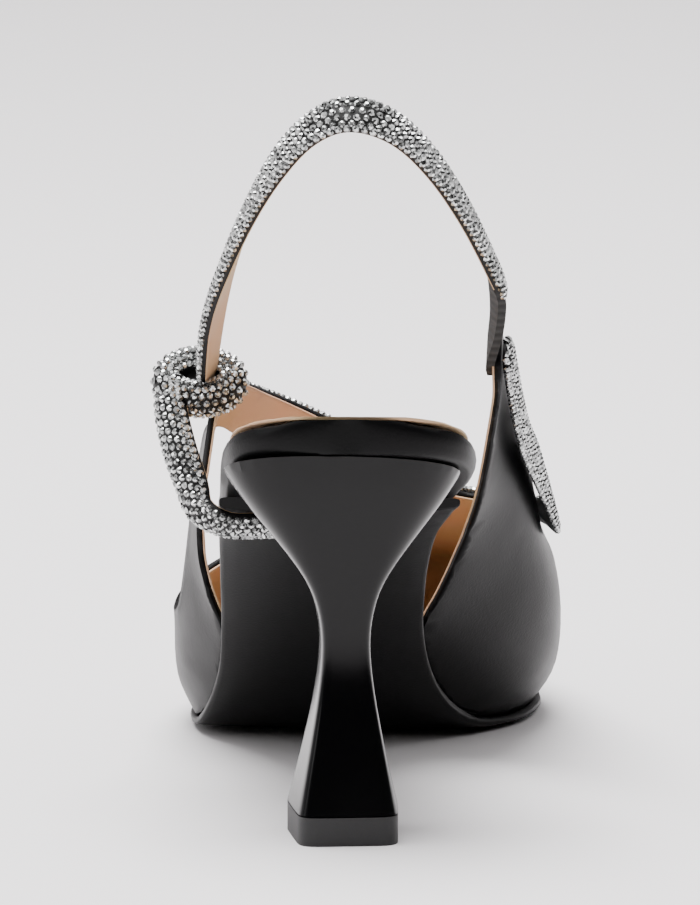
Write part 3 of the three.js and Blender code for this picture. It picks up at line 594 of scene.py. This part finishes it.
def crystal_template(size):
    """The mesh of one crystal, whose foot is at the origin."""
    bm = bmesh.new()
    radius = size / 2 * MM
    girdle = radius * GIRDLE_SHARE
    table = radius * TABLE_SHARE
    bmesh.ops.create_cone(bm, cap_ends=True, segments=8, radius1=radius, radius2=girdle,
                          depth=0.28 * radius, matrix=Matrix.Translation((0, 0, 0.14 * radius)))
    bmesh.ops.create_cone(bm, cap_ends=True, segments=8, radius1=girdle, radius2=table,
                          depth=0.42 * radius, matrix=Matrix.Translation((0, 0, 0.49 * radius)))
    bmesh.ops.remove_doubles(bm, verts=bm.verts, dist=0.001 * MM)
    mesh = bpy.data.meshes.new("crystal_template")
    bm.to_mesh(mesh)
    bm.free()
    return mesh


def set_crystals(name, places, size, slot):
    """Copies the crystal to every place, and gives each copy its own painted glint on its facets."""
    template = crystal_template(size)
    bm = bmesh.new()
    for point, along, out in places:
        tilt = Vector(rng.normal(0, TILT, 3))
        up = (out + tilt).normalized()
        side = along.cross(up).normalized()
        turn = Matrix.Rotation(rng.uniform(0, np.pi / 4), 3, up)
        axes = turn @ Matrix((side, up.cross(side), up)).transposed()
        start = len(bm.verts)
        bm.from_mesh(template)
        bm.verts.ensure_lookup_table()
        stand = Matrix.Translation(point) @ axes.to_4x4()
        bmesh.ops.transform(bm, matrix=stand, verts=bm.verts[start:])
    facing = np.array([polygon.normal.z for polygon in template.polygons])
    mesh = bpy.data.meshes.new(name)
    bm.to_mesh(mesh)
    bm.free()
    # Painted glint: each stone, and each facet of it, is painted lighter or darker; the table is always
    # painted bright and the steep sides dark.
    painted_glint = mesh.attributes.new("painted_glint", "FLOAT", "FACE")
    stones = rng.uniform(0.5, 1.0, (len(places), 1))
    facets = rng.uniform(0.15, 1.0, (len(places), len(facing)))
    facets = np.where(facing > 0.95, 1.0, np.where(facing < 0.3, 0.2, facets))
    painted_glint.data.foreach_set("value", (stones * facets).ravel())
    mesh.materials.append(crystal_glass)
    piece = bpy.data.objects.new(name, mesh)
    bpy.context.scene.collection.objects.link(piece)
    return wear(piece, slot)


def rows_on_dome(stations, widths, heights, rows, low, edge=0.93):
    """Places on the dome: rows side by side, every second one shifted along by half a step."""
    places = []
    for i in range(len(stations) - 1):
        for row, turn in enumerate(np.linspace(np.pi * (1 - edge), np.pi * edge, rows)):
            t = 0.5 if row % 2 else 0.0
            a, b = stations[i], stations[i + 1]
            point, across, out = (a[k].lerp(b[k], t) for k in (0, 2, 3))
            width = widths[i] * (1 - t) + widths[i + 1] * t
            height = heights[i] * (1 - t) + heights[i + 1] * t
            w = width / 2 * np.cos(turn)
            h = low + (height - low) * np.sin(turn) ** DOME_FULLNESS
            sideways = across * np.cos(turn) * (height / width + 0.35)
            face = (sideways + out * max(0.15, np.sin(turn))).normalized()
            places.append((point + across * (w * MM) + out * (h * MM), a[1], face))
    return places


# %% [markdown]
# ## The sling
#
# The sling leaves the knot, arches over the back of the foot in a leaning plane and comes down to
# the inner wing. Its front edge leans in, more at the ends, so the tan lining shows from behind.
# Its route is an arch of points in the leaning plane, and a roll about the route for each share of it.

# %% The sling's route
KNOT = Vector((-31.8, 45.9, 88.0))
SLING_HALF_WIDTH = 34.0
SLING_RISE = 68.0
SLING_START = -2.4
SLING_MIDDLE_X = 1.7
SLING_POINTS = 60
SLING = [(-0.960, 0.000), (-0.938, 0.120), (-0.885, 0.290), (-0.795, 0.450), (-0.630, 0.660),
         (-0.440, 0.835), (-0.230, 0.955), (0.000, 1.000), (0.260, 0.955), (0.480, 0.835),
         (0.675, 0.660), (0.845, 0.450), (0.890, 0.380)]
SLING_ROLL = [(0.00, 28), (0.18, 26), (0.34, 13), (0.48, 3), (0.64, 5), (0.82, 11), (1.00, 18)]
up_the_lean = Vector((0, -np.sqrt(0.5), np.sqrt(0.5)))
square_to_lean = Vector((0, np.sqrt(0.5), np.sqrt(0.5)))

arch_points = []
for x, up in SLING:
    foot = Vector((x * SLING_HALF_WIDTH + SLING_MIDDLE_X, KNOT.y, KNOT.z))
    arch_points.append(tuple(foot + up_the_lean * ((SLING_START + up * SLING_RISE) * np.sqrt(2))))
arch = even(arch_points, SLING_POINTS)

sling_rows = []
last = SLING_POINTS - 1
for i, row in enumerate(arch):
    along = Vector(arch[min(last, i + 1)] - arch[max(0, i - 1)]).normalized()
    roll = np.interp(i / last, [r[0] for r in SLING_ROLL], [r[1] for r in SLING_ROLL])
    out = along.cross(square_to_lean).normalized()
    out.rotate(Matrix.Rotation(-np.radians(roll), 3, along))
    sling_rows.append((*row, *out))
sling_stations = stations_of(sling_rows, STEP)
print("sling:", len(sling_stations), "stations")

# %% [markdown]
# The sling's leather is narrow where it goes through the knot, swells to its full width just above
# it, and closes in a rounded tip on the wing. So each station has a width and a height of its own.

# %% The sling's band, lining and crystals
SLING_EDGE = -0.5
SLING_INSIDE = -1.4
reach = np.linspace(0, 1, len(sling_stations))
swell = np.clip((reach - 0.03) / 0.11, 0, 1)
close = np.clip((1 - reach) / 0.025, 0, 1) ** 0.5
sling_width = (5.6 + 2.8 * swell) * (0.55 + 0.45 * close)
sling_height = (0.6 + 0.55 * swell) * close
sections = [domed(w, h, SLING_EDGE, SLING_INSIDE) for w, h in zip(sling_width, sling_height)]
sling = to_piece(band(sling_stations, sections), "sling_band", edge_paint, smooth_below=60)
wear(sling, "upper_leather", "sling_strap")

sections = [flat(w * 0.88, -1.35, -1.6) for w in sling_width]
sling_inside = to_piece(band(sling_stations, sections), "sling_lining", calf_lining, smooth_below=50)
wear(sling_inside, "lining_leather")

places = rows_on_dome(sling_stations, sling_width, sling_height, ROWS, SLING_EDGE)
set_crystals("sling_crystals", places, STONE, "crystals")

# %% [markdown]
# ## The knot
#
# The knot's strap comes up from under the waist, goes round the sling's end and tucks under itself.
# One strap that does it all would cut through itself, so the knot is made as two pieces that meet
# inside it: the riser, a strap like the sling, and a ring round the sling's end.

# %% The knot's riser
RISER_WIDTH = 8.4
RISER_HEIGHT = 1.6
RISER_EDGE = -0.6
RISER_INSIDE = -1.6
RISER = [(16.0, -16.9, -27.9, 0.00, -0.52, -0.85), (6.8, -16.7, -28.0, -0.10, -0.52, -0.85),
         (0.6, -15.5, -25.1, -0.45, -0.65, -0.60), (-1.6, -13.0, -19.5, -0.68, -0.72, -0.10),
         (-4.3, -9.0, -12.5, -0.65, -0.75, 0.00), (-6.4, -4.4, -4.5, -0.72, -0.68, 0.00),
         (-6.6, -1.4, 0.4, -0.85, -0.50, 0.00)]
riser_rows = [(*(KNOT + Vector(row[:3])), *row[3:]) for row in RISER]
riser_stations = stations_of(riser_rows, STEP)
count = len(riser_stations)
sections = [domed(RISER_WIDTH, RISER_HEIGHT, RISER_EDGE, RISER_INSIDE)] * count
riser = to_piece(band(riser_stations, sections), "knot_riser_band", edge_paint, smooth_below=60)
wear(riser, "upper_leather", "knot_strap")

sections = [flat(7.4, -1.55, -1.8)] * count
inside = band(riser_stations, sections)
riser_inside = to_piece(inside, "knot_riser_lining", calf_lining, smooth_below=50)
wear(riser_inside, "lining_leather")

widths = np.full(count, RISER_WIDTH)
heights = np.full(count, RISER_HEIGHT)
places = rows_on_dome(riser_stations, widths, heights, ROWS, RISER_EDGE)
set_crystals("knot_riser_crystals", places, STONE, "crystals")

# %% [markdown]
# ### The ring of the knot
#
# The knot's ring is padded all round, so its cross-section is an oval and its crystals go round most
# of it. They stand a little closer than on the flat straps, because the ring's outside is longer
# than its middle.

# %% The ring of the knot
RING_ACROSS = 7.3
RING_DEEP = 4.9
LOOK_ACROSS = 5.6
LOOK_DEEP = 8.0
CLOSER = 0.84
loop_rows = []
for turn in np.radians(np.arange(170, -200, -12)):
    look = Vector((np.cos(turn) * LOOK_ACROSS, 0, 0)) + square_to_lean * (np.sin(turn) * LOOK_DEEP)
    out = look.normalized()
    sideways = Vector((np.cos(turn) * RING_ACROSS, 0, 0))
    point = KNOT + sideways + square_to_lean * (np.sin(turn) * RING_DEEP)
    loop_rows.append((*point, *out))
loop_stations = stations_of(loop_rows, STEP * CLOSER)
print("ring:", len(loop_stations), "stations")


def padded(half, deep, middle):
    """A padded strap's cross-section: an oval."""
    turns = np.linspace(0, 2 * np.pi, 20, endpoint=False)
    return [(half * np.cos(turn), middle + deep * np.sin(turn)) for turn in turns]


def rows_round_oval(stations, half, deep, middle, rows, start, end):
    """Places round an oval strap, in rows from one turn to another, in degrees."""
    places = []
    for i, (a, b) in enumerate(zip(stations, stations[1:])):
        for row, turn in enumerate(np.radians(np.linspace(start, end, rows))):
            point, across, out = (a[k].lerp(b[k], 0.5 * (row % 2)) for k in (0, 2, 3))
            high = middle + deep * np.sin(turn)
            place = point + across * (half * np.cos(turn) * MM) + out * (high * MM)
            face = (across * np.cos(turn) * deep / half + out * np.sin(turn)).normalized()
            places.append((place, a[1], face))
    return places


RING_OVAL = (4.3, 3.1, -0.4)
sections = [padded(*RING_OVAL)] * len(loop_stations)
ring = to_piece(band(loop_stations, sections), "knot_loop_band", edge_paint, smooth_below=80)
wear(ring, "upper_leather")

places = rows_round_oval(loop_stations, *RING_OVAL, rows=11, start=-40, end=220)
set_crystals("knot_loop_crystals", places, STONE, "crystals")

# %% [markdown]
# ## The trim on the topline
#
# The same crystals edge the topline: down the front of the inner wing, round the throat and up the
# instep band to the knot. The trim lies on the leather, so each point of its route has the way the
# leather looks there, and the band stands on it.

# %% The trim's route and crystals
TRIM = [
    (31.9, 39.3, 95.9, 1.00, -0.07, 0.01), (32.3, 43.8, 93.3, 1.00, -0.09, 0.01),
    (32.6, 47.5, 90.7, 1.00, -0.10, 0.01), (33.6, 57.2, 83.0, 1.00, -0.10, 0.01),
    (34.7, 67.1, 75.8, 0.99, -0.10, 0.03), (35.3, 72.0, 72.6, 0.99, -0.13, 0.05),
    (37.3, 81.1, 66.1, 0.98, -0.15, 0.10), (39.1, 90.1, 59.4, 0.98, -0.05, 0.18),
    (39.9, 94.8, 56.0, 0.97, 0.01, 0.23), (40.8, 104.2, 50.2, 0.92, 0.15, 0.35),
    (39.6, 114.2, 47.6, 0.76, 0.21, 0.62), (37.4, 118.4, 48.1, 0.58, 0.36, 0.73),
    (30.2, 123.1, 49.0, 0.24, 0.51, 0.83), (23.1, 124.2, 49.6, 0.09, 0.52, 0.85),
    (15.9, 121.9, 51.4, 0.02, 0.53, 0.85), (12.6, 119.7, 52.8, 0.00, 0.50, 0.86),
    (6.3, 113.8, 55.7, -0.01, 0.44, 0.90), (0.5, 105.8, 61.4, -0.05, 0.65, 0.76),
    (-1.6, 102.4, 64.0, -0.08, 0.64, 0.76), (-7.0, 95.5, 68.9, -0.14, 0.63, 0.76),
    (-15.1, 86.8, 74.0, -0.26, 0.63, 0.73), (-19.3, 82.1, 76.3, -0.35, 0.62, 0.70),
    (-25.8, 72.1, 80.2, -0.60, 0.49, 0.63), (-29.2, 63.2, 82.7, -0.83, 0.32, 0.45),
    (-30.1, 59.6, 83.1, -0.92, 0.21, 0.34), (-30.7, 53.6, 83.4, -0.99, 0.00, 0.17)]
TRIM_WIDTH = 8.4
TRIM_EDGE = 0.7
TRIM_INSIDE = 0.2
trim_stations = stations_of(TRIM, STEP)
reach = np.linspace(0, 1, len(trim_stations))
close = np.clip(reach / 0.02, 0, 1) ** 0.5
trim_width = TRIM_WIDTH * (0.5 + 0.5 * close)
trim_height = 0.9 + 1.0 * close
sections = [domed(w, h, TRIM_EDGE, TRIM_INSIDE) for w, h in zip(trim_width, trim_height)]
trim = to_piece(band(trim_stations, sections), "trim_band", edge_paint, smooth_below=60)
wear(trim, "upper_leather", "crystal_trim")

places = rows_on_dome(trim_stations, trim_width, trim_height, ROWS, TRIM_EDGE)
set_crystals("trim_crystals", places, STONE, "crystals")

# %% [markdown]
# ## The elastic
#
# A short black elastic joins the sling's end to the wing, so that the foot slips in without
# a buckle. It is a flat band that starts behind the sling and ends behind the wing's leather, so its
# route runs from the sling's last station to the trim's first one.

# %% The elastic
ELASTIC_WIDTH = 7.2
ELASTIC_HALF_THICKNESS = 0.9
end, along, _, out = sling_stations[-1]
front, ahead, _, face = trim_stations[0]
end, front = end / MM, front / MM
spots = [(end - along * 6 - out * 1.0, out), (end - out * 1.0, out),
         (end.lerp(front, 0.5) - out * 1.2, out.lerp(face, 0.5)),
         (front - face * 2.3, face), (front + ahead * 5 - face * 2.5, face)]
route = stations_of([(*spot, *look) for spot, look in spots], 1.5)
section = flat(ELASTIC_WIDTH, ELASTIC_HALF_THICKNESS, -ELASTIC_HALF_THICKNESS)
sections = [section] * len(route)
elastic = to_piece(band(route, sections), "elastic_woven", woven_elastic, smooth_below=40)
wear(elastic, "elastic_band", "elastic")

# %% [markdown]
# ## The studio
#
# The shoe stands on a pale seamless sweep: paper that turns up behind in one wide curve, so no line
# shows where the floor ends. One large grid is lifted at its far edge, and the corner is bevelled.

# %% Floor
SWEEP_METRES = 6
bm = bmesh.new()
bmesh.ops.create_grid(bm, x_segments=1, y_segments=1, size=SWEEP_METRES)
floor_far = [edge for edge in bm.edges if all(vert.co.y > 5 for vert in edge.verts)]
lifted = bmesh.ops.extrude_edge_only(bm, edges=floor_far)["geom"]
for item in lifted:
    if isinstance(item, bmesh.types.BMVert):
        item.co.z += SWEEP_METRES
bmesh.ops.bevel(bm, geom=floor_far, offset=SWEEP_METRES / 2, offset_type="OFFSET", segments=24, profile=0.5,
                affect="EDGES", material=-1)
floor_finish, tree, shader = finish_named("pale studio paper")
place = add(tree, "ShaderNodeTexCoord").outputs["Object"]
fleck = add(tree, "ShaderNodeTexNoise", Vector=place, Scale=3.0, Detail=3.0)
tone = add(tree, "ShaderNodeMixRGB", Fac=fleck.outputs["Fac"],
           Color1=paint("#F1EEEF"), Color2=paint("#F4F1F2"))
tree.links.new(tone.outputs["Color"], shader.inputs["Base Color"])
shader.inputs["Roughness"].default_value = 0.9
floor = to_piece(bm, "studio_sweep", floor_finish)

# %% [markdown]
# ## The light
#
# Soft light falls from above. Black leather shows mostly what it reflects, so the room matters more
# than the lamps do: it is pale above and ahead, and dark behind the camera and on the right.

# %% The room
world = bpy.data.worlds.new("studio")
world.use_nodes = True
sky = world.node_tree
towards = add(sky, "ShaderNodeSeparateXYZ", Vector=add(sky, "ShaderNodeTexCoord").outputs["Generated"])
above = add(sky, "ShaderNodeMapRange", {"interpolation_type": "SMOOTHSTEP"}, Value=towards.outputs["Z"],
            From_Min=0.45, From_Max=1.0, To_Min=0.0, To_Max=2.0)
ahead = add(sky, "ShaderNodeMapRange", {"interpolation_type": "SMOOTHSTEP"}, Value=towards.outputs["Y"],
            From_Min=-0.7, From_Max=0.6, To_Min=0.02, To_Max=0.8)
leftward = add(sky, "ShaderNodeMapRange", {"interpolation_type": "SMOOTHSTEP"}, Value=towards.outputs["X"],
               From_Min=-0.3, From_Max=0.6, To_Min=1.0, To_Max=0.03)
level = add(sky, "ShaderNodeMath", {"operation": "MULTIPLY"},
            i0=leftward.outputs["Result"], i1=ahead.outputs["Result"])
glow = add(sky, "ShaderNodeMath", {"operation": "ADD"},
           i0=above.outputs["Result"], i1=level.outputs[0])
sky.nodes["Background"].inputs["Color"].default_value = paint("#F4F2F3")
sky.links.new(glow.outputs[0], sky.nodes["Background"].inputs["Strength"])
bpy.context.scene.world = world


# %% The lamps
def softbox(name, place, size, power):
    """A round soft lamp that looks at the shoe."""
    light = bpy.data.lights.new(name, "AREA")
    light.shape = "DISK"
    light.size = size
    light.energy = power
    lamp = bpy.data.objects.new(name, light)
    lamp.location = place
    lamp.rotation_euler = (Vector((0, 0.06, 0.06)) - Vector(place)).to_track_quat("-Z", "Y").to_euler()
    bpy.context.scene.collection.objects.link(lamp)


softbox("overhead", (-0.2, 0.3, 1.7), 1.4, 70)
softbox("left", (-1.3, -0.3, 0.6), 0.7, 4)
softbox("right", (1.3, 0.3, 0.9), 0.7, 2)
print("lamps: one above and one on each side")

# %% [markdown]
# ## The camera
#
# The camera stands about two metres behind the shoe and a little above it, as in the photo, with
# a long lens. The lens is written as a focal length of so many pixels of a frame 700 pixels wide.

# %% Camera
EYE = Vector((54.3, -2014.1, 412.0)) * MM
AIM = Vector((0.0, 40.0, 74.0)) * MM
FOCAL_PIXELS = 9900
FRAME_WIDTH = 700
lens = bpy.data.cameras.new("camera")
lens.sensor_fit = "HORIZONTAL"
lens.sensor_width = 36
lens.lens = lens.sensor_width * FOCAL_PIXELS / FRAME_WIDTH
lens.clip_end = 30
camera = bpy.data.objects.new("camera", lens)
camera.location = EYE
camera.rotation_euler = (AIM - EYE).to_track_quat("-Z", "Y").to_euler()
bpy.context.scene.collection.objects.link(camera)
bpy.context.scene.camera = camera
print("camera:", round((AIM - EYE).length, 3), "m away, lens", round(lens.lens), "mm")
